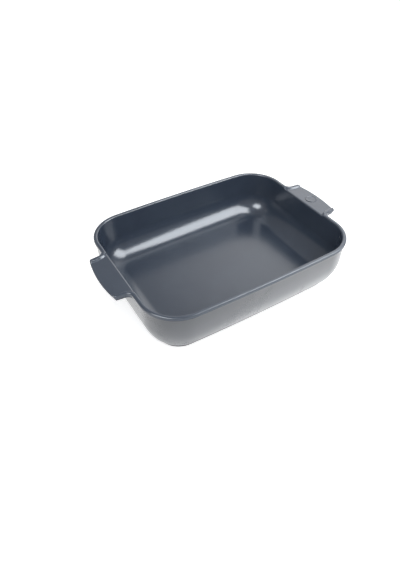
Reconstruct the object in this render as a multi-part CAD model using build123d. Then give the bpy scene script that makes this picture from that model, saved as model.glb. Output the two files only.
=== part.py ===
from build123d import *
import math
import os

os.makedirs("parts", exist_ok=True)

# A stoneware lasagna dish. X runs along its length, Y across it, Z up from the table.
# Lengths are in millimetres and angles in degrees.

# Size of the whole dish
overall_length = 400.1      # from handle tip to handle tip
overall_width = 266.7       # over the rim of the two long sides
overall_height = 82.6       # from the table to the crest of the rim
handle_reach = 26.75        # from the rim of a short side out to the handle's tip
corner_radius = 58.0        # outer edge of the rim, seen from above
side_bow = 1.8              # how far the long sides swell out at their middle
glaze_thickness = 0.4

# Rim, a flat bead with rounded edges that overhangs the wall as a lip
rim_width = 6.5
rim_height = 4.8
rim_edge_radius = 1.9
lip_overhang = 2.2

# Wall, nearly upright above and drawn in below to the foot
outer_draft_angle = 1.8
inner_draft_angle = 2.0
bend_height_share = 0.6     # where the outer wall starts to draw in, against the height
inside_cove_radius = 35.0
cove_limit_share = 0.85     # the most of the depth or the corner that the cove may take

# Floor and foot
floor_thickness = 6.5
foot_height = 4.0
foot_inset = 22.7           # from the rim's outer edge to the foot's
foot_width = 6.0
foot_step = 0.8             # the wall ends this far outside the foot
foot_edge_radius = 0.8

# Handles, flat lugs whose two sides are edged by the rim as it runs out over them
handle_width = 95.6         # over both ridges, where the sides begin
handle_taper_angle = 6.0
root_radius = 8.5           # hollow curve by which the rim turns out to the handle
tip_bulge = 4.5             # the tip's middle stands out this far past its two corners
panel_height = 2.2          # the panel lies this far above the lip's underside
lug_depth = 5.0             # the lug reaches this far below the lip's underside
panel_inner_radius = 1.4
panel_tip_radius = 1.6
edge_limit_share = 0.8      # the most of the panel's height that its edges may take

# Round boss on the right handle, left bare
medallion_diameter = 19.0
medallion_height = 0.7
medallion_edge_radius = 0.4

# One overrun for solids that are made long and then cut back
overrun = 12.0

# Levels
lip_level = overall_height - rim_height
joint_level = lip_level + glaze_thickness
panel_level = lip_level + panel_height
lug_level = lip_level - lug_depth
floor_level = foot_height + floor_thickness

# Plan of the rim's outer edge: straight short sides, bowed long sides, round corners
half_length = overall_length / 2 - handle_reach
half_width = overall_width / 2
corner_x = half_length - corner_radius
bow_radius = (corner_x**2 + side_bow**2) / (2 * side_bow)
bow_centre_y = half_width - bow_radius
corner_y = bow_centre_y + math.sqrt((bow_radius - corner_radius)**2 - corner_x**2)
bow_angle = math.degrees(math.asin(corner_x / (bow_radius - corner_radius)))


def outline(*steps):
    """Closed face in the XZ plane. A step is a corner, or a point on an arc and its end."""
    edges = []
    here = steps[0]
    for step in steps[1:] + steps[:1]:
        start = Vector(here[0], 0, here[1])
        end = Vector(step[-2], 0, step[-1])
        if len(step) == 4:
            edges.append(Edge.make_three_point_arc(start, Vector(step[0], 0, step[1]), end))
        else:
            edges.append(Edge.make_line(start, end))
        here = step[-2:]
    return Face(Wire(edges))


def arc_middle(centre, radius, first, last):
    """Point halfway round an arc whose ends lie in the directions first and last."""
    across = first[0] + last[0]
    up = first[1] + last[1]
    size = math.hypot(across, up)
    return centre[0] + radius * across / size, centre[1] + radius * up / size


def straight(section, start_x, start_y, length):
    """Section carried along Y, with its outward side towards +X."""
    return Pos(start_x, start_y, 0) * extrude(section, amount=length, dir=(0, 1, 0))


def turned(section, centre_x, centre_y, radius, start_angle, sweep):
    """Section carried round a vertical axis, with its outward side away from the axis."""
    swept = revolve(Pos(radius, 0, 0) * section, Axis.Z, sweep)
    return Pos(centre_x, centre_y, 0) * Rot(0, 0, start_angle) * swept


def all_round(section):
    """Section carried once round the dish. Its X is measured from the rim's outer edge."""
    long_side = turned(section, 0, bow_centre_y, bow_radius, 90 - bow_angle, 2 * bow_angle)
    corner = turned(section, corner_x, corner_y, corner_radius, 0, 90 - bow_angle)
    short_side = straight(section, half_length, -corner_y, 2 * corner_y)
    runs = [long_side, mirror(long_side, about=Plane.XZ)]
    runs += [short_side, mirror(short_side, about=Plane.YZ)]
    for copy in (corner, mirror(corner, about=Plane.YZ)):
        runs += [copy, mirror(copy, about=Plane.XZ)]
    return Part() + runs


def plate(inset, bottom, top):
    """Flat plate whose edge lies inside the rim's outer edge by the inset."""
    corner = corner_radius - inset
    long = bow_radius - inset
    side_x = half_length - inset
    lean = math.radians(90 - bow_angle)
    half = math.radians(45 - bow_angle / 2)
    touch = Vector(corner_x + corner * math.cos(lean), corner_y + corner * math.sin(lean), bottom)
    middle = Vector(corner_x + corner * math.cos(half), corner_y + corner * math.sin(half), bottom)
    side = Vector(side_x, corner_y, bottom)
    crown = Vector(0, bow_centre_y + long, bottom)
    right = [
        Edge.make_line(Vector(side_x, -corner_y, bottom), side),
        Edge.make_three_point_arc(side, middle, touch),
        Edge.make_three_point_arc(touch, crown, Vector(-touch.X, touch.Y, bottom)),
        Edge.make_three_point_arc(
            Vector(-touch.X, touch.Y, bottom),
            Vector(-middle.X, middle.Y, bottom),
            Vector(-side_x, corner_y, bottom),
        ),
    ]
    left = [Rot(0, 0, 180) * edge for edge in right]
    return extrude(Face(Wire(right + left)), amount=top - bottom, dir=(0, 0, 1))


# Outer wall surface: a drafted line, then an arc that reaches the foot's top
draft = math.radians(outer_draft_angle)
bend_level = foot_height + bend_height_share * (lip_level - foot_height)
wall_out = (math.cos(draft), -math.sin(draft))
wall_end = foot_step - foot_inset


def outer_wall_x(level):
    return -lip_overhang - (lip_level - level) * math.tan(draft)


bend_x = outer_wall_x(bend_level)
down_run = (wall_end - bend_x) * -math.sin(draft) + (foot_height - bend_level) * -math.cos(draft)
draw_in = (bend_x - wall_end) * wall_out[0] + (bend_level - foot_height) * wall_out[1]
belly_radius = (draw_in**2 + down_run**2) / (2 * draw_in)
belly_x = bend_x - belly_radius * wall_out[0]
belly_level = bend_level - belly_radius * wall_out[1]


def outer_wall(depth):
    """Joint, bend, arc middle and end of the outer wall, this deep below its surface."""
    radius = belly_radius - depth
    end_x = belly_x + math.sqrt(radius**2 - (belly_level - foot_height)**2)
    end_way = ((end_x - belly_x) / radius, (foot_height - belly_level) / radius)
    joint = (outer_wall_x(joint_level) - depth / math.cos(draft), joint_level)
    bend = (belly_x + radius * wall_out[0], belly_level + radius * wall_out[1])
    middle = arc_middle((belly_x, belly_level), radius, wall_out, end_way)
    return joint, bend, middle, (end_x, foot_height)


# Inner wall surface: a drafted line and a large cove down to the flat floor
inner_draft = math.radians(inner_draft_angle)
inside_depth = lip_level - floor_level
cove_room = min(inside_depth, corner_radius - rim_width)
cove_radius = min(inside_cove_radius, cove_limit_share * cove_room)
cove_level = floor_level + cove_radius
cove_wall_x = -rim_width - (joint_level - cove_level) * math.tan(inner_draft)
cove_x = cove_wall_x - cove_radius / math.cos(inner_draft)
wall_in = (math.cos(inner_draft), -math.sin(inner_draft))


def inner_wall(depth):
    """Joint, cove top, cove middle and cove end of the inner wall, this deep in it."""
    radius = cove_radius + depth
    joint = (-rim_width + depth / math.cos(inner_draft), joint_level)
    top = (cove_x + radius * wall_in[0], cove_level + radius * wall_in[1])
    middle = arc_middle((cove_x, cove_level), radius, wall_in, (0, -1))
    return joint, top, middle, (cove_x, cove_level - radius)


# Tray, the clay of the walls and the floor
outer_joint, outer_bend, outer_middle, outer_end = outer_wall(glaze_thickness)
inner_joint, inner_top, inner_middle, inner_end = inner_wall(glaze_thickness)
tray_section = outline(
    outer_joint,
    outer_bend,
    outer_middle + outer_end,
    (cove_x, foot_height),
    inner_end,
    inner_middle + inner_top,
    inner_joint,
)
clay_floor_level = floor_level - glaze_thickness
tray = all_round(tray_section) + plate(-cove_x, foot_height, clay_floor_level)

# Coat inside the tray, from the rim down the cove and over the floor
coat_joint, coat_top, coat_middle, coat_end = inner_wall(0)
inside_section = outline(
    inner_joint,
    inner_top,
    inner_middle + inner_end,
    coat_end,
    coat_middle + coat_top,
    coat_joint,
)
inside_glaze = all_round(inside_section) + plate(-cove_x, clay_floor_level, floor_level)

# Coat outside the tray, from under the lip to just above the foot
coat_joint, coat_bend, coat_middle, coat_end = outer_wall(0)
outside_section = outline(
    coat_joint,
    coat_bend,
    coat_middle + coat_end,
    outer_end,
    outer_middle + outer_bend,
    outer_joint,
)
outside_coat = all_round(outside_section)

# Foot ring, ground clay without a coat, with its two lower edges broken
foot_outer = -foot_inset
foot_inner = -foot_inset - foot_width
edge_near = foot_edge_radius * (1 - math.sqrt(0.5))
foot_section = outline(
    (foot_outer, foot_height),
    (foot_outer, foot_edge_radius),
    (foot_outer - edge_near, edge_near, foot_outer - foot_edge_radius, 0),
    (foot_inner + foot_edge_radius, 0),
    (foot_inner + edge_near, edge_near, foot_inner, foot_edge_radius),
    (foot_inner, foot_height),
)
foot_ring = all_round(foot_section)

# Coat under the floor, inside the foot ring
base_glaze = plate(foot_inset + foot_width, foot_height - glaze_thickness, foot_height)

# Plan of a handle, drawn for the right one. The hollow curve's centre lies beside the
# short side. A side then leans in by the taper, and a round nose joins it to the tip.
taper = math.radians(handle_taper_angle)
side_heading = (math.cos(taper), -math.sin(taper))
side_out = (math.sin(taper), math.cos(taper))
root_x = half_length + root_radius
root_y = handle_width / 2 + root_radius * math.cos(taper)
nose_radius = rim_width / 2
middle_radius = root_radius + nose_radius
nose_x = overall_length / 2 - tip_bulge - nose_radius
run_start_x = root_x - middle_radius * side_out[0]
run_start_y = root_y - middle_radius * side_out[1]
run_length = (nose_x - run_start_x) / side_heading[0]
nose_y = run_start_y + run_length * side_heading[1]
tip_room = overall_length / 2 - nose_x
tip_radius = (tip_room**2 + nose_y**2 - nose_radius**2) / (2 * (tip_room - nose_radius))
tip_x = overall_length / 2 - tip_radius
inner_face_x = half_length - rim_width
wall_middle_x = (inner_face_x + half_length - lip_overhang) / 2
notch_y = root_y - root_radius


def bead_section(depth, bottom):
    """Section of the rim, with its two upper edges rounded, this deep below its surface."""
    left = depth - rim_width
    right = -depth
    top = overall_height - depth
    radius = rim_edge_radius - depth
    near = radius * (1 - math.sqrt(0.5))
    return outline(
        (right, bottom),
        (right, top - radius),
        (right - near, top - near, right - radius, top),
        (left + radius, top),
        (left + near, top - near, left, top - radius),
        (left, bottom),
    )


def half_nose_section(depth, bottom):
    """Outer half of the rim's section, to be turned about the rim's middle line."""
    right = nose_radius - depth
    top = overall_height - depth
    radius = rim_edge_radius - depth
    near = radius * (1 - math.sqrt(0.5))
    return outline(
        (right, bottom),
        (right, top - radius),
        (right - near, top - near, right - radius, top),
        (0, top),
        (0, bottom),
    )


def quarter_bead(depth, bottom):
    """A quarter of the rim: half a long side, a corner, the turn out and a ridge."""
    section = bead_section(depth, bottom)
    flipped = mirror(section, about=Plane.YZ)
    long_side = turned(section, 0, bow_centre_y, bow_radius, 90 - bow_angle, bow_angle)
    corner = turned(section, corner_x, corner_y, corner_radius, 0, 90 - bow_angle)
    notch = notch_y + depth
    short_side = straight(section, half_length, notch, corner_y - notch)
    hollow = turned(flipped, root_x, root_y, root_radius, 180, 90 - handle_taper_angle)
    side_start_x = root_x - root_radius * side_out[0]
    side_start_y = root_y - root_radius * side_out[1]
    ridge = extrude(section, amount=run_length, dir=(0, -1, 0))
    ridge = Pos(side_start_x, side_start_y, 0) * Rot(0, 0, 90 - handle_taper_angle) * ridge
    nose = revolve(half_nose_section(depth, bottom), Axis.Z, 180)
    nose = Pos(nose_x, nose_y, 0) * Rot(0, 0, -90 - handle_taper_angle) * nose
    return Part() + [long_side, corner, short_side, hollow, ridge, nose]


def back_bead(depth, bottom):
    quarter = quarter_bead(depth, bottom)
    return quarter + mirror(quarter, about=Plane.YZ)


back_rim = back_bead(glaze_thickness, joint_level)
back_body = back_bead(0, lip_level)
front_rim = mirror(back_rim, about=Plane.XZ)
front_body = mirror(back_body, about=Plane.XZ)


def plan_edges(points):
    """Edges through plan points. A step of four numbers is an arc, as in a section."""
    edges = []
    here = points[0]
    for step in points[1:] + points[:1]:
        start = Vector(here[0], here[1], 0)
        end = Vector(step[-2], step[-1], 0)
        if len(step) == 4:
            edges.append(Edge.make_three_point_arc(start, Vector(step[0], step[1], 0), end))
        else:
            edges.append(Edge.make_line(start, end))
        here = step[-2:]
    return edges


def half_plan(inset, start_x, end_x, end_y):
    """Root, hollow curve and side of a handle at the back, inset, up to a given end."""
    radius = root_radius + inset
    turn = math.radians(180 + (90 - handle_taper_angle) / 2)
    root = (root_x - radius, root_y)
    middle = (root_x + radius * math.cos(turn), root_y + radius * math.sin(turn))
    side = (root_x - radius * side_out[0], root_y - radius * side_out[1])
    return [(start_x, root_y), root, middle + side, (end_x, end_y)]


def flipped_back(half):
    """The same half seen in the dish's middle plane, run the other way."""
    ends = [step[-2:] for step in half]
    middles = [step[:2] if len(step) == 4 else None for step in half]
    back = []
    for index in range(len(half) - 1, -1, -1):
        end = (ends[index][0], -ends[index][1])
        through = middles[index + 1] if index + 1 < len(half) else None
        back.append((through[0], -through[1]) + end if through else end)
    return back


def top_plan(inset):
    """Handle seen from above, out to the nose and the tip, less the inset."""
    radius = nose_radius - inset
    side_end = (nose_x + radius * side_out[0], nose_y + radius * side_out[1])
    reach = math.hypot(nose_x - tip_x, nose_y)
    tip_way = ((nose_x - tip_x) / reach, nose_y / reach)
    tip_end = (nose_x + radius * tip_way[0], nose_y + radius * tip_way[1])
    middle = arc_middle((nose_x, nose_y), radius, side_out, tip_way)
    half = half_plan(inset, inner_face_x, *side_end) + [middle + tip_end]
    tip = (tip_x + tip_radius - inset, 0)
    back = flipped_back(half)
    back[0] = tip + back[0]
    return Face(Wire(plan_edges(half + back)))


def lug_plan(inset):
    """Lower part of the handle, whose sides run on past the tip until they are cut."""
    radius = root_radius + inset
    far_x = overall_length / 2 + overrun
    far_y = root_y - radius * side_out[1] - (far_x - root_x) * math.tan(taper)
    half = half_plan(inset, wall_middle_x, far_x, far_y)
    return Face(Wire(plan_edges(half + flipped_back(half))))


def tip_drum(inset, bottom, top, edge_radius):
    """Drum whose side is the handle's tip and whose upper edge is rounded."""
    radius = tip_radius - inset
    drum = extrude(Pos(tip_x, 0, bottom) * Circle(radius), amount=top - bottom)
    rim_edge = drum.edges().filter_by(GeomType.CIRCLE).sort_by(Axis.Z)[-1]
    return fillet(rim_edge, edge_radius)


def handle_body(depth, root_y_reach):
    """Right handle without its ridges, this deep below its surface."""
    seat = joint_level if depth else lip_level
    low = lug_level + depth
    top = panel_level - depth
    edge_room = edge_limit_share * (top - seat)
    inner_radius = min(panel_inner_radius - depth, edge_room)
    tip_edge_radius = min(panel_tip_radius - depth, edge_room)
    inner_x = inner_face_x + depth
    near = inner_radius * (1 - math.sqrt(0.5))
    far_x = overall_length / 2 + overrun
    panel = extrude(Pos(0, 0, seat) * top_plan(depth), amount=top - seat, dir=(0, 0, 1))
    slice_section = outline(
        (inner_x, seat),
        (inner_x, top - inner_radius),
        (inner_x + near, top - near, inner_x + inner_radius, top),
        (far_x, top),
        (far_x, seat),
    )
    slice_through = straight(slice_section, 0, -root_y_reach, 2 * root_y_reach)
    panel = panel & slice_through & tip_drum(depth, seat, top, tip_edge_radius)
    lug_inset = lip_overhang + depth
    lug = extrude(Pos(0, 0, low) * lug_plan(lug_inset), amount=seat - low, dir=(0, 0, 1))
    drum_radius = tip_radius - lug_inset
    lug = lug & extrude(Pos(tip_x, 0, low) * Circle(drum_radius), amount=seat - low)
    return panel + lug


root_reach = root_y + overrun
handle_clay = handle_body(glaze_thickness, root_reach) - tray - back_rim - front_rim
handle_full = handle_body(0, root_reach)
handle_coat = handle_full - handle_clay - tray - inside_glaze - back_body - front_body
left_full = mirror(handle_full, about=Plane.YZ)
left_handle = mirror(handle_clay, about=Plane.YZ)
left_handle_glaze = mirror(handle_coat, about=Plane.YZ)

# Medallion, which stands on the clay and comes up through the coat
medallion_x = (inner_face_x + overall_length / 2) / 2 + panel_inner_radius
medallion_bottom = panel_level - glaze_thickness
medallion_body = extrude(
    Pos(medallion_x, 0, medallion_bottom) * Circle(medallion_diameter / 2),
    amount=medallion_height + glaze_thickness,
)
medallion_top_edge = medallion_body.edges().filter_by(GeomType.CIRCLE).sort_by(Axis.Z)[-1]
medallion = fillet(medallion_top_edge, medallion_edge_radius)
right_handle = handle_clay
right_handle_glaze = handle_coat - medallion_body

# The outer coat stops where the handles are joined on, and the rims' coats fill the rest
outside_glaze = outside_coat - handle_full - left_full
rim_taken = Part() + [tray, inside_glaze, outside_glaze]
back_rim_glaze = back_body - back_rim - rim_taken - right_handle - left_handle
front_rim_glaze = mirror(back_rim_glaze, about=Plane.XZ)

nodes = {
    "tray": tray,
    "foot_ring": foot_ring,
    "back_rim": back_rim,
    "front_rim": front_rim,
    "left_handle": left_handle,
    "right_handle": right_handle,
    "medallion": medallion,
    "inside_glaze": inside_glaze,
    "outside_glaze": outside_glaze,
    "base_glaze": base_glaze,
    "back_rim_glaze": back_rim_glaze,
    "front_rim_glaze": front_rim_glaze,
    "left_handle_glaze": left_handle_glaze,
    "right_handle_glaze": right_handle_glaze,
}
for name, solid in nodes.items():
    export_step(solid, f"parts/{name}.step")
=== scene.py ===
import math
import bmesh
import bpy
import numpy as np
from mathutils import Matrix, Vector


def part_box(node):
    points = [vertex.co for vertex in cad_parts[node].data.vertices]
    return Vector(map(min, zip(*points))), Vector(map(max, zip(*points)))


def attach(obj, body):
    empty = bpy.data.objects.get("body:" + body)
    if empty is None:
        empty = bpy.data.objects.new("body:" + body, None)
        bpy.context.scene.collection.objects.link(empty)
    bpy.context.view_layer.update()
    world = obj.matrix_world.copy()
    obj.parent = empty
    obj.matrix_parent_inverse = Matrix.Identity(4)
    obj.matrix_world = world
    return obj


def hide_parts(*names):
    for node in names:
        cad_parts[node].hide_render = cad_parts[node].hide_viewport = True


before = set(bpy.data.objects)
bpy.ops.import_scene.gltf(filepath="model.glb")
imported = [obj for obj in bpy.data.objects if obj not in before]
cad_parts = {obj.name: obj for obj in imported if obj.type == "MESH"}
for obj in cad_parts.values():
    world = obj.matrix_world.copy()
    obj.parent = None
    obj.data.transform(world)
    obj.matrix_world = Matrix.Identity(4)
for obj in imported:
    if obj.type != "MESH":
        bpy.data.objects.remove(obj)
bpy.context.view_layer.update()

# Camera, where the photograph was taken from. It looks down past the front left corner
# from about arm's length, and is tipped a little about its own line of sight.
camera_azimuth = math.radians(-30.32)
camera_elevation = math.radians(43.17)
camera_roll = math.radians(-1.06)
camera_place = Vector((-0.32197, -0.48916, 0.52100))
level_share = math.cos(camera_elevation)
camera_back = Vector((
    math.sin(camera_azimuth) * level_share,
    -math.cos(camera_azimuth) * level_share,
    math.sin(camera_elevation),
))
level_right = Vector((math.cos(camera_azimuth), math.sin(camera_azimuth), 0))
level_up = camera_back.cross(level_right)
camera_right = level_right * math.cos(camera_roll) + level_up * math.sin(camera_roll)
camera_up = level_up * math.cos(camera_roll) - level_right * math.sin(camera_roll)
camera_data = bpy.data.cameras.new("camera")
camera_data.lens = 29.70
camera = bpy.data.objects.new("camera", camera_data)
turn = Matrix((camera_right, camera_up, camera_back)).transposed()
camera.matrix_world = Matrix.Translation(camera_place) @ turn.to_4x4()
bpy.context.scene.collection.objects.link(camera)
bpy.context.scene.camera = camera

# Rim, back and front. On the real dish the top of the wall is turned into a flat bead with
# rounded edges and a lip under its outer side. It runs out along both sides of each handle
# as a ridge. It is one with the clay of the wall, dipped in dark glaze and fired with it.
panel_low, panel_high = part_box("right_handle_glaze")
rim_low, rim_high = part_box("back_rim_glaze")
rim_width = 0.0065
lip_height = 0.0048
lip_overhang = 0.0022
lip_edge = 0.0005
bead_edge = 0.0019
bead_crown = 0.00035         # the bead's top is this much higher in its middle
corner_radius = 0.058
side_bow = 0.0018
handle_width = 0.0956
handle_taper = math.radians(6)
root_radius = 0.0085
tip_bulge = 0.0045
joint_rise = 0.0004          # the inner wall meets the rim this far above the lip's underside
inner_draft = math.radians(2)
panel_drop = 0.0026          # the handle's panel lies this far below the rim
panel_tip_edge = 0.0016
panel_inner_run = 0.0026     # the panel's inner edge is rounded over this run and fall
panel_inner_fall = 0.0016
ridge_shoulder = 0.0011      # the ridge starts to fall this far inside its inner side
ridge_foot = 0.0020          # and meets the panel this far beyond it
ridge_room = 0.0024          # and its close lines this far
ridge_skirt = 0.0035         # a ridge's lines run this far past its inner side
thin_and_highlit_depth = 0.0006          # the paler line, of thin glaze and painted highlight, is strongest this far inside an edge
notch_rise = 0.0488          # the rim proper stops this far from the middle of the dish

rim_top = rim_high.z
lip_level = rim_top - lip_height
joint_level = lip_level + joint_rise
inner_x = panel_low.x
half_length = inner_x + rim_width
half_width = rim_high.y
corner_x = half_length - corner_radius
bow_radius = (corner_x**2 + side_bow**2) / (2 * side_bow)
bow_y = half_width - bow_radius
corner_y = bow_y + math.sqrt((bow_radius - corner_radius)**2 - corner_x**2)
bow_angle = math.asin(corner_x / (bow_radius - corner_radius))
heading = np.array([math.cos(handle_taper), -math.sin(handle_taper)])
side_out = np.array([math.sin(handle_taper), math.cos(handle_taper)])
root = np.array([half_length + root_radius, handle_width / 2 + root_radius * side_out[1]])
nose_radius = rim_width / 2
middle_radius = root_radius + nose_radius
ridge_start = root - middle_radius * side_out
ridge_length = (panel_high.x - tip_bulge - nose_radius - ridge_start[0]) / heading[0]
nose = ridge_start + ridge_length * heading
tip_room = panel_high.x - nose[0]
tip_radius = (tip_room**2 + nose[1]**2 - nose_radius**2) / (2 * (tip_room - nose_radius))
tip_x = panel_high.x - tip_radius
side_angle = math.pi / 2 - handle_taper
nose_to_tip = math.atan2(nose[1], nose[0] - tip_x)


def ring(centre, radius, angles):
    """Points round a centre: centre plus radius times the direction of each angle."""
    way = np.stack([np.cos(angles), np.sin(angles)], -1)
    return np.array(centre) + np.reshape(radius, (-1, 1)) * way, way


def from_root(points):
    """Distance from the hollow curve's centre, and the angle round it from its inner side."""
    gap = root - points
    return np.hypot(gap[..., 0], gap[..., 1]), np.arctan2(gap[..., 1], gap[..., 0])


def inside_edge(points):
    """How far points lie inside a handle's outline: the distance to the hollow curve, to
    the straight side, to the nose's arc or to the tip's arc, whichever they face."""
    reach, angle = from_root(points)
    hollow = reach - root_radius
    side = (ridge_start + nose_radius * side_out - points) @ side_out
    tip = tip_radius - np.hypot(points[..., 0] - tip_x, points[..., 1])
    gap = points - nose
    faced = np.arctan2(gap[..., 1], gap[..., 0])
    nose_arc = nose_radius - np.hypot(gap[..., 0], gap[..., 1])
    depth = np.where(angle < side_angle, np.minimum(hollow, tip), np.minimum(side, tip))
    return np.where((faced > nose_to_tip) & (faced < side_angle), nose_arc, depth)


def beyond_ridge(points):
    """How far points lie beyond the bead's inner side: the distance to the bead's middle
    line, less half its width, run softly into the distance to the rim proper."""
    reach, angle = from_root(points)
    along = np.clip((points - ridge_start) @ heading, 0, ridge_length)
    foot = ridge_start + along[..., None] * heading
    straight = np.linalg.norm(points - foot, axis=-1)
    middle = np.where(angle < side_angle, np.abs(reach - middle_radius), straight)
    softness = 0.0007
    first = np.exp(-(middle - nose_radius) / softness)
    second = np.exp(-(notch_rise - points[..., 1]) / softness)
    return -softness * np.log(first + second)


def rounding(depth, run, fall):
    """Fall of a rounded edge at a depth inside it: a quarter of an ellipse, run by fall."""
    part = np.clip(1 - depth / run, 0, 1)
    return fall * (1 - np.sqrt(1 - part**2))


def smooth(value, low, high):
    """0 below low, 1 above high, and the cubic 3t2 - 2t3 between them."""
    part = np.clip((value - low) / (high - low), 0, 1)
    return part * part * (3 - 2 * part)


def height(outer, inner, ridge):
    """Level of the upper surface, from the depth inside the outer edge and the inner edge
    and from how much of the ridge there is: panel level, plus the ridge with its crown,
    which is a parabola across it, less both rounded edges."""
    from_middle = np.clip(np.abs(outer / nose_radius - 1), 0, 1)
    outer_edge = panel_tip_edge + (bead_edge - panel_tip_edge) * ridge
    inner_run = panel_inner_run + (bead_edge - panel_inner_run) * ridge
    inner_fall = panel_inner_fall + (bead_edge - panel_inner_fall) * ridge
    fall = rounding(outer, outer_edge, outer_edge) + rounding(inner, inner_run, inner_fall)
    return rim_top - panel_drop * (1 - ridge) - bead_crown * ridge * from_middle**2 - fall


def handle_top(points):
    """Level and paleness of a handle's upper surface at plan points at the back right; the
    paleness is thin glaze and painted highlight.
    """
    ridge = 1 - smooth(beyond_ridge(points), -ridge_shoulder, ridge_foot)
    outer = inside_edge(points)
    inner = points[..., 0] - inner_x
    return height(outer, inner, ridge), thin_and_highlit(outer, inner, ridge)


def thin_and_highlit(outer, inner, ridge):
    """How pale the glaze is, from 0 to 1, where it runs thin over an edge and as a painted
    highlight: a narrow bell over each rounded edge, and a weaker one over the ridge's shoulder."""
    over_outer = np.exp(-((outer - thin_and_highlit_depth) / thin_and_highlit_depth)**2)
    over_inner = np.exp(-((inner - thin_and_highlit_depth) / thin_and_highlit_depth)**2)
    over_ridge = 0.4 * np.exp(-((ridge - 0.86) / 0.1)**2) * (inner > panel_inner_run)
    return np.clip(over_outer + over_inner + over_ridge, 0, 1)


def steps(first, last, count):
    """Even steps after the first value up to the last one."""
    return np.linspace(first, last, count + 1)[1:]


# Lines across the rim of the back right quarter, from the long side's middle to the nose.
# Each starts on the outer edge and ends on the inner edge or, on the handle, on the panel.
turned = np.linspace(math.pi / 2, math.pi / 2 - bow_angle, 30)
outer_long, way_long = ring((0, bow_y), bow_radius, turned)
inner_long, _ = ring((0, bow_y), bow_radius - rim_width, turned)
turned = steps(math.pi / 2 - bow_angle, 0, 72)
outer_corner, way_corner = ring((corner_x, corner_y), corner_radius, turned)
inner_corner, _ = ring((corner_x, corner_y), corner_radius - rim_width, turned)
short_y = steps(corner_y, root[1], 10)
outer_short = np.stack([np.full_like(short_y, half_length), short_y], -1)
inner_short = np.stack([np.full_like(short_y, inner_x), short_y], -1)
way_short = np.tile([1.0, 0.0], (len(short_y), 1))
turn_crowding = 1.3          # above 1, lines lie closer together at the start of the turn
cap_crowding = 1.4           # and closer at the end of the cap round the nose
skirt_radius = root_radius + rim_width + ridge_skirt
meeting = math.acos((root[0] - inner_x) / skirt_radius)
turned = steps(0, meeting, 20)
outer_hollow, way_hollow = ring(root, root_radius, turned + math.pi)
inner_hollow, _ = ring(root, (root[0] - inner_x) / np.cos(turned), turned + math.pi)
turned = meeting + (side_angle - meeting) * steps(0, 1, 40)**turn_crowding
outer_turn, way_turn = ring(root, root_radius, turned + math.pi)
inner_turn, _ = ring(root, skirt_radius, turned + math.pi)
along = steps(0, ridge_length, 26)[:, None] * heading
outer_side = ridge_start + nose_radius * side_out + along
inner_side = ridge_start - (nose_radius + ridge_skirt) * side_out + along
way_side = np.tile(side_out, (len(along), 1))
cap_radius = nose_radius + ridge_skirt
centres = tip_radius - nose_radius
cap_cosine = (tip_radius**2 - centres**2 - cap_radius**2) / (2 * centres * cap_radius)
cap_end_angle = nose_to_tip - math.acos(cap_cosine)
cap_share = steps(0, 1, 44)
cap_turn = cap_end_angle - side_angle + math.pi
turned = side_angle - math.pi + cap_turn * (1 - (1 - cap_share)**cap_crowding)
inner_cap, _ = ring(nose, cap_radius, turned)
cap_end = math.asin(inner_cap[-1, 1] / tip_radius)
nose_run = nose_radius * (side_angle - nose_to_tip)
run = (nose_run + tip_radius * (nose_to_tip - cap_end)) * cap_share
nose_part = side_angle - np.minimum(run, nose_run) / nose_radius
tip_part = nose_to_tip - np.maximum(run - nose_run, 0) / tip_radius
on_nose, way_nose = ring(nose, nose_radius, nose_part)
on_tip, way_tip = ring((tip_x, 0), tip_radius, tip_part)
outer_cap = np.where((run < nose_run)[:, None], on_nose, on_tip)
way_cap = np.where((run < nose_run)[:, None], way_nose, way_tip)
outer_line = np.concatenate(
    [outer_long, outer_corner, outer_short, outer_hollow, outer_turn, outer_side, outer_cap])
inner_line = np.concatenate(
    [inner_long, inner_corner, inner_short, inner_hollow, inner_turn, inner_side, inner_cap])
outer_way = np.concatenate(
    [way_long, way_corner, way_short, -way_hollow, -way_turn, way_side, way_cap])
plain_count = len(outer_long) + len(outer_corner) + len(outer_short)
edge_count = plain_count + len(outer_hollow)
inner_way = outer_way[:edge_count].copy()
inner_way[plain_count:] = (1, 0)

# Points across each line and their levels. They lie closer together at both of its ends,
# or where a ridge has its side, at the outer end and there.
least_ridge_share = 0.3
shortest_line = 1e-9
line_length = np.maximum(np.linalg.norm(inner_line - outer_line, axis=1), shortest_line)
to_ridge = np.clip(1 - (ridge_skirt - ridge_room) / line_length, least_ridge_share, 1)
to_ridge[:edge_count] = np.minimum(1, (rim_width + ridge_room) / line_length[:edge_count])
on_ridge = np.clip((1 - to_ridge) / (1 - to_ridge[edge_count]), 0, 1)
plain_share = (1 - np.cos(np.linspace(0, math.pi, 54))) / 2
near_share = (1 - np.cos(np.linspace(0, math.pi, 46))) / 2
far_share = steps(0, 1, 8)[:, None]
ridge_share = np.concatenate([near_share[:, None] * to_ridge,
                              to_ridge + (1 - to_ridge) * far_share])
row_share = plain_share[:, None] * (1 - on_ridge) + ridge_share * on_ridge
across = outer_line + (inner_line - outer_line) * row_share[..., None]
level, edge_pale = handle_top(across)
plain_outer = row_share[:, :plain_count] * rim_width
plain_inner = rim_width - plain_outer
level[:, :plain_count] = height(plain_outer, plain_inner, 1.0)
edge_pale[:, :plain_count] = thin_and_highlit(plain_outer, plain_inner, np.ones_like(plain_outer))
bead_top = np.dstack([across, level])


def lip(points, ways, start):
    """Side and underside of the lip: down from the upper surface's edge, round a small
    quarter circle, then inwards to the wall. One column for each point of the outline."""
    bend = np.linspace(0, math.pi / 2, 7)
    inward = np.concatenate([[0, 0], lip_edge * (1 - np.cos(bend)), [lip_overhang + joint_rise]])
    lower = np.concatenate([lip_level + lip_edge * (1 - np.sin(bend)), [lip_level]])
    plan = points - inward[:, None, None] * ways
    middle = (start + lip_level + lip_edge) / 2
    down = np.concatenate([[start, middle], np.tile(lower[:, None], (1, len(start)))])
    return np.dstack([plan, down])


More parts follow.
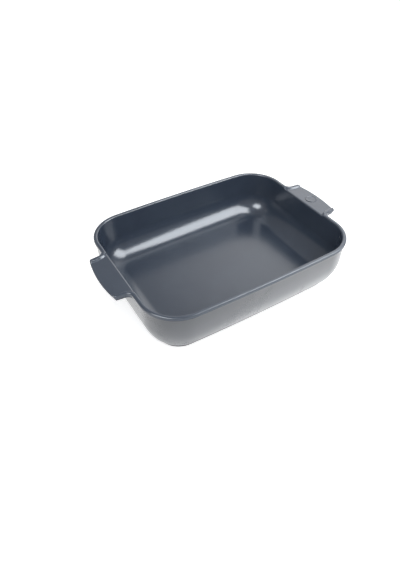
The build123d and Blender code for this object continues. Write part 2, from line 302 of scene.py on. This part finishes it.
def inner_side_of(points, ways, start):
    """Inner side of the rim: straight down from the upper surface's edge to the joint, then
    along the wall's slope to the level of the lip's underside."""
    slope = joint_rise * math.tan(inner_draft)
    plan = points - np.array([0, 0, slope])[:, None, None] * ways
    down = np.stack([start, np.full_like(start, joint_level), np.full_like(start, lip_level)])
    return np.dstack([plan, down])


def mirrored(grid, axes):
    """The same grid seen in a plane through the dish's middle, with its columns run back."""
    flip = np.array([-1 if "x" in axes else 1, -1 if "y" in axes else 1, 1])
    return grid[:, ::-1] * flip


def both_ends(grid):
    """A right-hand grid and its mirror image, from the left end to the right end."""
    return np.concatenate([mirrored(grid, "x"), grid[:, 1:]], 1)


def make_mesh(name, sheets):
    """Mesh from sheets, each a grid of points with the way it faces and a paleness of thin glaze
    and painted highlight. Each cell gives one quad, turned to face that way, and points that
    coincide are merged."""
    points, faces, values, start = [], [], [], 0
    for grid, facing, thin_and_highlit_here in sheets:
        rows, columns = grid.shape[:2]
        index = start + np.arange(rows * columns).reshape(rows, columns)
        quads = np.stack([index[:-1, :-1], index[:-1, 1:], index[1:, 1:], index[1:, :-1]], -1)
        one_way = grid[1:, 1:] - grid[:-1, :-1]
        other_way = grid[1:, :-1] - grid[:-1, 1:]
        normal = np.cross(one_way, other_way)
        wanted = np.broadcast_to(facing, grid.shape)[:-1, :-1]
        if (normal * wanted).sum() > 0:
            quads = quads[..., ::-1]
        points.append(grid.reshape(-1, 3))
        faces.append(quads.reshape(-1, 4))
        values.append(np.broadcast_to(thin_and_highlit_here, grid.shape[:2]).ravel())
        start += rows * columns
    mesh = bpy.data.meshes.new(name)
    mesh.from_pydata(np.concatenate(points), [], np.concatenate(faces))
    # Each point's paleness, of thin glaze and painted highlight, is kept for the glaze's shader.
    thin_and_highlit_values = mesh.attributes.new("thin_and_highlit", "FLOAT", "POINT")
    thin_and_highlit_values.data.foreach_set("value", np.concatenate(values).astype(np.float32))
    work = bmesh.new()
    work.from_mesh(mesh)
    bmesh.ops.remove_doubles(work, verts=work.verts, dist=2e-7)
    work.to_mesh(mesh)
    work.free()
    mesh.polygons.foreach_set("use_smooth", np.ones(len(mesh.polygons), bool))
    mesh.update()
    return mesh


def make_piece(name, sheets, recipe, slot, *nodes):
    """Object at the origin that rides on the dish's one body and stands for CAD nodes."""
    piece = bpy.data.objects.new(name, make_mesh(name, sheets))
    piece.data.materials.append(recipe.owner)
    bpy.context.scene.collection.objects.link(piece)
    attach(piece, "root")
    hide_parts(*nodes)
    return piece


class Signal:
    """One output of a node. Arithmetic on signals adds Math nodes to the same recipe."""

    def __init__(self, recipe, socket):
        self.recipe = recipe
        self.socket = socket

    def sum_of(self, operation, first, second):
        return self.recipe.node("ShaderNodeMath", {"operation": operation}, {0: first, 1: second})

    def __add__(self, other):
        return self.sum_of("ADD", self, other)

    def __sub__(self, other):
        return self.sum_of("SUBTRACT", self, other)

    def __rsub__(self, other):
        return self.sum_of("SUBTRACT", other, self)

    def __mul__(self, other):
        return self.sum_of("MULTIPLY", self, other)

    __radd__ = __add__
    __rmul__ = __mul__


class Recipe:
    """The nodes of a finish or a light, from each node's kind, settings and sockets."""

    def __init__(self, owner):
        self.owner = owner
        owner.use_nodes = True
        self.tree = owner.node_tree
        self.tree.nodes.clear()

    def node(self, kind, settings, sockets, output=0):
        made = self.tree.nodes.new(kind)
        for setting, value in settings.items():
            setattr(made, setting, value)
        for socket, value in sockets.items():
            if isinstance(value, Signal):
                self.tree.links.new(value.socket, made.inputs[socket])
            else:
                made.inputs[socket].default_value = value
        return Signal(self, made.outputs[output]) if made.outputs else made

    def place(self):
        return self.node("ShaderNodeTexCoord", {}, {}, "Object")

    def noise(self, scale, detail=2.0, roughness=0.5):
        return self.node("ShaderNodeTexNoise", {}, {
            "Vector": self.place(), "Scale": scale, "Detail": detail, "Roughness": roughness})

    def spots(self, scale, size):
        """1 at the middle of scattered cells and 0 further from it than the size."""
        gap = self.node("ShaderNodeTexVoronoi", {}, {"Vector": self.place(), "Scale": scale})
        return self.between(gap, size, 0.0)

    def between(self, value, low, high):
        """0 at low and 1 at high, held there beyond them."""
        return self.node("ShaderNodeMapRange", {"interpolation_type": "SMOOTHSTEP"}, {
            "Value": value, "From Min": low, "From Max": high})

    def mix(self, share, first, second):
        return self.node("ShaderNodeMix", {"data_type": "RGBA"}, {
            "Factor": share, 6: first, 7: second}, 2)

    def value_of(self, name):
        return self.node("ShaderNodeAttribute", {"attribute_name": name}, {}, "Fac")

    def bump(self, relief, distance):
        return self.node("ShaderNodeBump", {}, {
            "Height": relief, "Distance": distance, "Strength": 1.0})

    def height_above_table(self):
        return self.node("ShaderNodeSeparateXYZ", {}, {0: self.place()}, "Z")

    def light_path(self, ray):
        return self.node("ShaderNodeLightPath", {}, {}, ray)

    def surface(self, sockets):
        shader = self.node("ShaderNodeBsdfPrincipled", {}, sockets)
        self.node("ShaderNodeOutputMaterial", {}, {"Surface": shader})


# Dark glaze of the inside, the rim and the handles. It is a deep blue grey, glossy under a
# slight orange peel, with fine specks, and paler over each rounded edge, where it runs thin and
# as a painted highlight.
slate = (0.050, 0.065, 0.093, 1)
slate_deep = (0.044, 0.058, 0.085, 1)
slate_thin_and_highlit = (0.105, 0.120, 0.146, 1)
slate_speck = (0.018, 0.022, 0.030, 1)
slate_glaze = Recipe(bpy.data.materials.new("slate_glaze"))
cloud = slate_glaze.noise(14.0, 3.0)
grain = slate_glaze.noise(1400.0, 2.0)
peel = slate_glaze.noise(240.0, 1.0)
swell = slate_glaze.noise(45.0, 1.0)
speck = slate_glaze.spots(420.0, 0.16) * slate_glaze.between(slate_glaze.noise(160.0), 0.5, 0.62)
thin_and_highlit_share = slate_glaze.value_of("thin_and_highlit")
colour = slate_glaze.mix(slate_glaze.between(cloud, 0.35, 0.65), slate_deep, slate)
colour = slate_glaze.mix(speck * 0.7, colour, slate_speck)
# Paler over rounded edges: glaze run thin, and a painted highlight.
paler_share = thin_and_highlit_share * slate_glaze.between(grain, 0.2, 0.8) * 0.9
colour = slate_glaze.mix(paler_share, colour, slate_thin_and_highlit)
relief = peel * 0.3 + swell * 0.8 + grain * 0.05 - speck * 0.4
slate_glaze.surface({
    "Base Color": colour,
    "Roughness": 0.17 + 0.03 * slate_glaze.between(cloud, 0.3, 0.7) + 0.04 * grain,
    "IOR": 1.6,
    "Normal": slate_glaze.bump(relief, 0.0001),
})

bead_faces = np.array([0, 0, 1])
outline = lip(outer_line, outer_way, level[0])
outline_way = np.column_stack([outer_way, np.zeros(len(outer_way))])
inner_edge = inner_line[:edge_count]
wall_head = inner_side_of(inner_edge, inner_way, level[-1, :edge_count])
wall_way = -np.column_stack([inner_way, np.zeros(edge_count)])
# Paler rows on the lip and at the wall's head, of thin glaze and painted highlight.
lip_pale = np.zeros(outline.shape[:2])
lip_pale[0] = edge_pale[0]
lip_pale[1:3] = 0.35
head_pale = np.zeros(wall_head.shape[:2])
head_pale[0] = edge_pale[-1, :edge_count]


def both_ways(ways):
    """Facing directions of a right-hand grid and of its mirror image."""
    return np.concatenate([ways[::-1] * (-1, 1, 1), ways[1:]])


def both_values(values):
    return np.concatenate([values[:, ::-1], values[:, 1:]], 1)


rim_sheets = [
    (both_ends(bead_top), bead_faces, both_values(edge_pale)),
    (both_ends(outline), both_ways(outline_way) - (0, 0, 0.6), both_values(lip_pale)),
    (both_ends(wall_head), both_ways(wall_way), both_values(head_pale)),
]
make_piece("back_rim_bead", rim_sheets, slate_glaze, "slate_glaze", "back_rim", "back_rim_glaze")
front_sheets = [
    (grid * (1, -1, 1), facing * np.array([1, -1, 1]), values)
    for grid, facing, values in rim_sheets
]
make_piece("front_rim_bead", front_sheets, slate_glaze, "slate_glaze",
           "front_rim", "front_rim_glaze")

# Handle panels. Each handle is a flat lug drawn out of the rim between its two ridges, with
# a soft inner edge towards the food and a rounded tip. It is the same clay under one coat.
panel_edge = inner_line[edge_count - 1:]
panel_share = np.linspace(-1, 1, 97)
tip_run = np.sqrt(tip_radius**2 - (panel_share * panel_edge[-1, 1])**2) + tip_x - inner_x
stretch = tip_run / (panel_edge[-1, 0] - inner_x)
panel_x = inner_x + (panel_edge[:, :1] - inner_x) * stretch
panel_y = panel_edge[:, 1:] * panel_share
panel_plan = np.dstack([panel_x, panel_y])
panel_z, panel_pale = handle_top(np.dstack([panel_x, np.abs(panel_y)]))
panel_top = np.dstack([panel_plan, panel_z])
tip_way = (panel_plan[-1] - (tip_x, 0)) / tip_radius
tip_side = lip(panel_plan[-1], tip_way, panel_z[-1])
tip_facing = np.column_stack([tip_way, np.zeros(len(tip_way))]) - (0, 0, 0.6)
tip_pale = np.zeros(tip_side.shape[:2])
tip_pale[0] = panel_pale[-1]
panel_way = np.tile([1.0, 0.0], (len(panel_share), 1))
panel_head = inner_side_of(panel_plan[0], panel_way, panel_z[0])
panel_head_pale = np.zeros(panel_head.shape[:2])
panel_head_pale[0] = panel_pale[0]
right_sheets = [
    (panel_top, bead_faces, panel_pale),
    (tip_side, tip_facing, tip_pale),
    (panel_head, np.array([-1, 0, 0]), panel_head_pale),
]
left_sheets = [
    (grid * (-1, 1, 1), facing * np.array([-1, 1, 1]), values)
    for grid, facing, values in right_sheets
]

# Underside of a handle: a flat lug under the lip, cut in all round as the lip is, with soft
# lower edges and a fillet where it runs into the wall.
lug_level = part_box("right_handle_glaze")[0].z
lug_edge = 0.0009
wall_fillet = 0.0025
outer_draft = math.radians(1.8)
wall_x = half_length - lip_overhang - (lip_level - lug_level) * math.tan(outer_draft)


def lug(points, ways):
    """Side and underside of a lug. Its side drops from the lip, rounds a quarter circle,
    and each column then runs straight to the wall, falling along the wall's fillet."""
    bend = np.linspace(0, math.pi / 2, 8)
    inward = np.concatenate([[0, 0], lug_edge * (1 - np.cos(bend))])
    edge = points - (lip_overhang + inward)[:, None, None] * ways
    side = np.concatenate([[lip_level + joint_rise, (lip_level + lug_level) / 2],
                           lug_level + lug_edge * (1 - np.sin(bend))])
    run = (1 - np.cos(np.linspace(0, math.pi, 26)))[1:] / 2
    start = edge[-1]
    flat = np.stack([
        start[:, 0] + (wall_x - start[:, 0]) * run[:, None],
        np.broadcast_to(start[:, 1], (len(run), len(start))),
    ], -1)
    plan = np.concatenate([edge, flat])
    down = np.concatenate([side, np.full(len(run), lug_level)])[:, None]
    fall = rounding(plan[..., 0] - wall_x, wall_fillet, wall_fillet)
    fall[0] = 0
    return np.dstack([plan, down - fall])


handle_part = slice(plain_count - 1, None)
lug_points = np.concatenate([outer_line[handle_part], panel_plan[-1, ::-1][1:]])
lug_ways = np.concatenate([outer_way[handle_part], tip_way[::-1][1:]])
lug_points = np.concatenate([lug_points, (outer_line[handle_part] * (1, -1))[::-1][1:]])
lug_ways = np.concatenate([lug_ways, (outer_way[handle_part] * (1, -1))[::-1][1:]])
lug_sheet = lug(lug_points, lug_ways)
lug_facing = np.column_stack([lug_ways, np.zeros(len(lug_ways))]) * 0.2 - (0, 0, 1)
right_sheets.append((lug_sheet, lug_facing, 0.0))
left_sheets.append((lug_sheet * (-1, 1, 1), lug_facing * np.array([-1, 1, 1]), 0.0))
make_piece("right_handle_panel", right_sheets, slate_glaze, "slate_glaze",
           "right_handle", "right_handle_glaze")
make_piece("left_handle_panel", left_sheets, slate_glaze, "slate_glaze",
           "left_handle", "left_handle_glaze")

# Medallion. A low round boss pressed onto the right handle and glazed with it. Its face is
# left bare, very slightly dished inside a narrow border.
boss_low, boss_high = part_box("medallion")
boss_edge = 0.0004
boss_border = 0.0013
boss_dish = 0.0004
boss_radius = (boss_high.x - boss_low.x) / 2
boss_x = (boss_high.x + boss_low.x) / 2
bend = np.linspace(0, math.pi / 2, 8)
flat_end = boss_radius - boss_edge
radii = np.concatenate([np.linspace(0, flat_end - boss_border, 8),
                        np.linspace(flat_end - boss_border, flat_end, 10)[1:],
                        flat_end + boss_edge * np.sin(bend[1:]), [boss_radius]])
dish = boss_dish * (1 - smooth(radii, flat_end - boss_border, flat_end - boss_border / 2))
drop = np.concatenate([dish[:17], boss_edge * (1 - np.cos(bend[1:])),
                       [boss_high.z - boss_low.z]])
boss_turn = np.linspace(0, 2 * math.pi, 97)
boss_sheet = np.dstack([
    boss_x + radii[:, None] * np.cos(boss_turn),
    radii[:, None] * np.sin(boss_turn),
    np.broadcast_to((boss_high.z - drop)[:, None], (len(radii), len(boss_turn))),
])
# Paler rings at the boss's rounded edge and at its border: thin glaze and painted highlight.
border_bell = 0.0003
boss_pale = np.exp(-((boss_radius - radii - boss_edge) / boss_edge)**2)
boss_pale += 0.6 * np.exp(-((radii - flat_end + boss_border / 2) / border_bell)**2)
boss_pale = np.clip(boss_pale, 0, 1)[:, None]
make_piece("handle_medallion", [(boss_sheet, bead_faces, boss_pale)], slate_glaze, "slate_glaze",
           "medallion")

# Inside of the dish. The pressed wall slopes in slightly and turns through a wide cove into
# the flat floor. The glaze lies a little thicker in the cove.
floor_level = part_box("inside_glaze")[0].z + joint_rise
cove_radius = 0.035
cove_level = floor_level + cove_radius
cove_head = (joint_level - cove_level) * math.tan(inner_draft)
cove_inset = cove_head + cove_radius / math.cos(inner_draft)
wall_rows = np.linspace(lip_level, cove_level + cove_radius * math.sin(inner_draft), 12)[:-1]
turned = np.linspace(-inner_draft, math.pi / 2, 46)
inside_inset = np.concatenate([
    (joint_level - wall_rows) * math.tan(inner_draft),
    cove_inset - cove_radius * np.cos(turned),
])
inside_level = np.concatenate([wall_rows, cove_level - cove_radius * np.sin(turned)])
panel_half = len(panel_share) // 2
quarter = np.concatenate([panel_plan[0, panel_half:-1], inner_edge[::-1]])
quarter_way = np.concatenate([panel_way[panel_half:-1], inner_way[::-1]])


def all_round(quarter):
    """Closed loop from its quarter between +X and +Y, mirrored into the other three."""
    left = quarter[::-1] * (-1, 1)
    upper = np.concatenate([quarter, left[1:]])
    lower = upper[::-1] * (1, -1)
    return np.concatenate([upper, lower[1:]])


def carried(path, ways, inset, level):
    """A section carried round a path: path less inset times the outward way, at a level."""
    plan = path - inset[:, None, None] * ways
    return np.dstack([plan, np.broadcast_to(level[:, None], plan.shape[:2])])


inside_path = all_round(quarter)
inside_ways = all_round(quarter_way)
inside_sheet = carried(inside_path, inside_ways, inside_inset, inside_level)
shrink = np.linspace(1, 0, 22)[:, None, None]
floor_sheet = inside_sheet[-1] * np.concatenate([shrink, shrink, np.ones_like(shrink)], -1)
inside_facing = np.column_stack([-inside_ways, np.ones(len(inside_ways))])
make_piece("inside_surface",
           [(inside_sheet, inside_facing, 0.0), (floor_sheet, bead_faces, 0.0)],
           slate_glaze, "slate_glaze", "inside_glaze", "tray")

# Outside of the wall. The same clay under a satin coat, painted pale for the bright floor's
# reflection and dark under the lip for its shade. It is nearly upright below the lip and drawn in
# along one wide curve to a small step above the foot.
foot_inset = 0.0227
foot_step = 0.0008
foot_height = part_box("outside_glaze")[0].z
bend_share = 0.6
coat_edge = 0.0004
bend_level = foot_height + bend_share * (lip_level - foot_height)
bend_inset = lip_overhang + (lip_level - bend_level) * math.tan(outer_draft)
draw_in = foot_inset - foot_step - bend_inset
fall = bend_level - foot_height
toward = draw_in * math.cos(outer_draft) - fall * math.sin(outer_draft)
apart = draw_in * math.sin(outer_draft) + fall * math.cos(outer_draft)
belly_radius = (toward**2 + apart**2) / (2 * toward)
belly_inset = bend_inset + belly_radius * math.cos(outer_draft)
belly_level = bend_level + belly_radius * math.sin(outer_draft)
belly_end = math.asin((belly_level - foot_height - coat_edge) / belly_radius)
upright = np.linspace(joint_level, bend_level, 14)[:-1]
turned = np.linspace(outer_draft, belly_end, 44)
bend = np.linspace(0, math.pi / 2, 6)[1:]
belly_foot = belly_inset - belly_radius * math.cos(belly_end)
outside_inset = np.concatenate([
    lip_overhang + (lip_level - upright) * math.tan(outer_draft),
    belly_inset - belly_radius * np.cos(turned),
    belly_foot + coat_edge * (1 - np.cos(bend)),
    [foot_inset + coat_edge],
])
outside_level = np.concatenate([
    upright,
    belly_level - belly_radius * np.sin(turned),
    foot_height + coat_edge * (1 - np.sin(bend)),
    [foot_height],
])
side_y = np.linspace(0, corner_y, 24)[:-1]
outer_side_plan = np.stack([np.full_like(side_y, half_length), side_y], -1)
corner_part = np.concatenate([outer_corner[::-1], outer_long[::-1]])
corner_ways = np.concatenate([way_corner[::-1], way_long[::-1]])
outside_path = all_round(np.concatenate([outer_side_plan, corner_part]))
outside_ways = all_round(np.concatenate([np.tile([1.0, 0.0], (len(side_y), 1)), corner_ways]))
outside_sheet = carried(outside_path, outside_ways, outside_inset, outside_level)
outside_facing = np.column_stack([outside_ways, np.full(len(outside_ways), -0.5)])

outer_glaze = Recipe(bpy.data.materials.new("outer_glaze"))
# The pale tone is a painted reflection of the bright floor, the deep tone a painted shade.
outer_pale_painted_reflection = (0.275, 0.281, 0.295, 1)
outer_deep_painted_shade = (0.105, 0.110, 0.120, 1)
outer_speck = (0.070, 0.072, 0.078, 1)
cloud = outer_glaze.noise(12.0, 3.0)
# Painted light: darker under the lip as painted shade, paler towards the foot as painted floor
# reflection.
paler_share = outer_glaze.between(outer_glaze.height_above_table(), lip_level, 0.5 * foot_inset)
grain = outer_glaze.noise(1100.0, 2.0)
peel = outer_glaze.noise(260.0, 1.0)
swell = outer_glaze.noise(40.0, 1.0)
speck = outer_glaze.spots(380.0, 0.15) * outer_glaze.between(outer_glaze.noise(140.0), 0.5, 0.62)
colour = outer_glaze.mix(0.85 * paler_share + 0.15 * outer_glaze.between(cloud, 0.3, 0.7),
                         outer_deep_painted_shade, outer_pale_painted_reflection)
colour = outer_glaze.mix(speck * 0.5, colour, outer_speck)
relief = peel * 0.35 + swell * 1.2 + grain * 0.06 - speck * 0.4
outer_glaze.surface({
    "Base Color": colour,
    "Roughness": 0.24 + 0.04 * outer_glaze.between(cloud, 0.3, 0.7) + 0.05 * grain,
    "IOR": 1.6,
    "Normal": outer_glaze.bump(relief, 0.0001),
})
make_piece("outside_surface", [(outside_sheet, outside_facing, 0.0)], outer_glaze, "outer_glaze",
           "outside_glaze")

# Foot ring. Clay that is wiped bare before firing and ground flat after it, so that the dish
# stands firm and doesn't stick to the kiln shelf.
foot_width = 0.006
foot_edge = 0.0008
bend = np.linspace(0, math.pi / 2, 7)
foot_run = np.concatenate([[0], foot_edge * (1 - np.cos(bend)),
                           foot_width - foot_edge * (1 - np.sin(bend)), [foot_width]])
foot_rise = np.concatenate([[foot_height], foot_edge * (1 - np.sin(bend)),
                            foot_edge * (1 - np.cos(bend)), [foot_height]])
foot_sheet = carried(outside_path, outside_ways, foot_inset + foot_run, foot_rise)
stoneware = Recipe(bpy.data.materials.new("stoneware"))
clay_pale = (0.62, 0.53, 0.42, 1)
clay_dark = (0.50, 0.42, 0.33, 1)
clay_grit = (0.30, 0.23, 0.17, 1)
grit = stoneware.spots(700.0, 0.2) * stoneware.between(stoneware.noise(300.0), 0.45, 0.6)
body = stoneware.noise(60.0, 4.0)
tooth = stoneware.noise(2200.0, 3.0)
colour = stoneware.mix(stoneware.between(body, 0.35, 0.65), clay_dark, clay_pale)
colour = stoneware.mix(grit * 0.8, colour, clay_grit)
# The ring is darker and glossier above its lowest fraction of a millimetre.
dark_above_ground = stoneware.between(stoneware.height_above_table() + 0.0003 * body, 0.0003, 0.0006)
colour = stoneware.mix(dark_above_ground, colour, outer_speck)
stoneware.surface({
    "Base Color": colour,
    "Roughness": 0.72 + 0.15 * tooth - 0.45 * dark_above_ground,
    "IOR": 1.5,
    "Normal": stoneware.bump(tooth * 0.6 + body * 0.6 - grit * 0.5, 0.0001),
})
foot_facing = np.array([0, 0, -1])
make_piece("foot_ring_clay", [(foot_sheet, foot_facing, 0.0)], stoneware, "stoneware",
           "foot_ring")

# Underside of the floor inside the foot ring. It is coated too, and drawn up a little at its
# middle, as a pressed floor dries.
base_rise = 0.0003
base_edge = foot_inset + foot_width
base_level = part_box("base_glaze")[0].z
base_path = outside_path - base_edge * outside_ways
shrink = np.linspace(1, 0, 26)
base_sheet = np.dstack([
    base_path[None] * shrink[:, None, None],
    np.broadcast_to((base_level + base_rise * (1 - shrink**2))[:, None],
                    (len(shrink), len(base_path))),
])
make_piece("base_surface", [(base_sheet, foot_facing, 0.0)], outer_glaze, "outer_glaze",
           "base_glaze")

# Floor, a pale sweep under the dish. It isn't part of the dish. Glossy rays see it glow, with a
# painted shadow of the dish at its front left.
floor_mesh = bpy.data.meshes.new("floor")
floor_reach = 6.0
floor_corners = [(-floor_reach, -floor_reach, 0), (floor_reach, -floor_reach, 0),
                 (floor_reach, floor_reach, 0), (-floor_reach, floor_reach, 0)]
floor_mesh.from_pydata(floor_corners, [], [(0, 1, 2, 3)])
floor = bpy.data.objects.new("floor", floor_mesh)
bpy.context.scene.collection.objects.link(floor)
sweep = Recipe(bpy.data.materials.new("sweep"))
painted_shadow_place = (-0.16, -0.20, 0)    # middle of a painted shadow of the dish, seen only mirrored in its wall
looked_at = sweep.light_path("Is Camera Ray") + sweep.light_path("Is Transmission Ray")
mirrored_ray = sweep.light_path("Is Glossy Ray")
matt = sweep.node("ShaderNodeBsdfDiffuse", {}, {"Color": (0.93, 0.93, 0.93, 1)})
painted_shadow_gap = sweep.node("ShaderNodeVectorMath", {"operation": "DISTANCE"}, {
    0: sweep.place(), 1: painted_shadow_place}, "Value")
# The floor's glow to glossy rays, dimmed round the painted shadow.
mirrored_glow = 0.25 + 0.75 * sweep.between(painted_shadow_gap, 0.04, 0.20)
white = sweep.node("ShaderNodeEmission", {}, {
    "Color": (1, 1, 1, 1), "Strength": 0.62 * looked_at + mirrored_glow * mirrored_ray})
both = sweep.node("ShaderNodeAddShader", {}, {0: matt, 1: white})
sweep.node("ShaderNodeOutputMaterial", {}, {"Surface": both})
floor.data.materials.append(sweep.owner)

# Studio light: a white room, lit more at its back right, and soft boxes near the dish. The
# one at the front right gives the long soft reflection along the back cove, and a broad one
# behind the camera lights the matt part of the glaze only.
bpy.context.scene.world = bpy.data.worlds.new("room")
room = Recipe(bpy.context.scene.world)
fill = 0.46
glow_way = (0.771, 0.602, 0.208)
flatter = room.node("ShaderNodeVectorMath", {"operation": "MULTIPLY"}, {
    0: room.node("ShaderNodeTexCoord", {}, {}, "Generated"), 1: (1, 1, 0.6)})
looking = room.node("ShaderNodeVectorMath", {"operation": "NORMALIZE"}, {0: flatter})
facing_glow = room.node("ShaderNodeVectorMath", {"operation": "DOT_PRODUCT"}, {
    0: looking, 1: glow_way}, "Value")
lit = fill + 1.85 * room.between(facing_glow, 0.79, 1.0)
plain = room.light_path("Is Camera Ray") + room.light_path("Is Transmission Ray")
strength = lit * (1 - plain) + plain
backdrop = room.node("ShaderNodeBackground", {}, {"Color": (1, 1, 1, 1), "Strength": strength})
room.node("ShaderNodeOutputWorld", {}, {"Surface": backdrop})
lamp_tint = (0.92, 0.96, 1.0)


def soft_box(name, place, width, depth, radiance, lights_matt=True, mirrors=True):
    """Area light at a place, turned to the dish. Its power in watts is its radiance times
    its area times pi. It may light matt surfaces, be mirrored in glossy ones, or both."""
    data = bpy.data.lights.new(name, "AREA")
    data.shape = "RECTANGLE"
    data.size = width
    data.size_y = depth
    data.energy = radiance * width * depth * math.pi
    data.color = lamp_tint
    lamp = bpy.data.objects.new(name, data)
    lamp.location = place
    aim = Vector((0, 0, rim_top / 2)) - lamp.location
    lamp.rotation_euler = aim.to_track_quat("-Z", "Y").to_euler()
    lamp.visible_diffuse = lights_matt
    lamp.visible_glossy = mirrors
    lamp.visible_camera = False
    bpy.context.scene.collection.objects.link(lamp)


soft_box("key_box", (0.366, -0.21, 0.62), 0.46, 0.70, 2.0)
soft_box("key_sheen", (0.36, -0.207, 0.61), 0.45, 0.68, 8.2, lights_matt=False)
soft_box("side_box", (-0.46, -0.11, 0.68), 0.37, 0.37, 13.0, lights_matt=False)
soft_box("front_fill", (-0.35, -1.0, 0.95), 0.8, 0.8, 3.0, mirrors=False)

scene = bpy.context.scene
scene.view_settings.view_transform = "Standard"
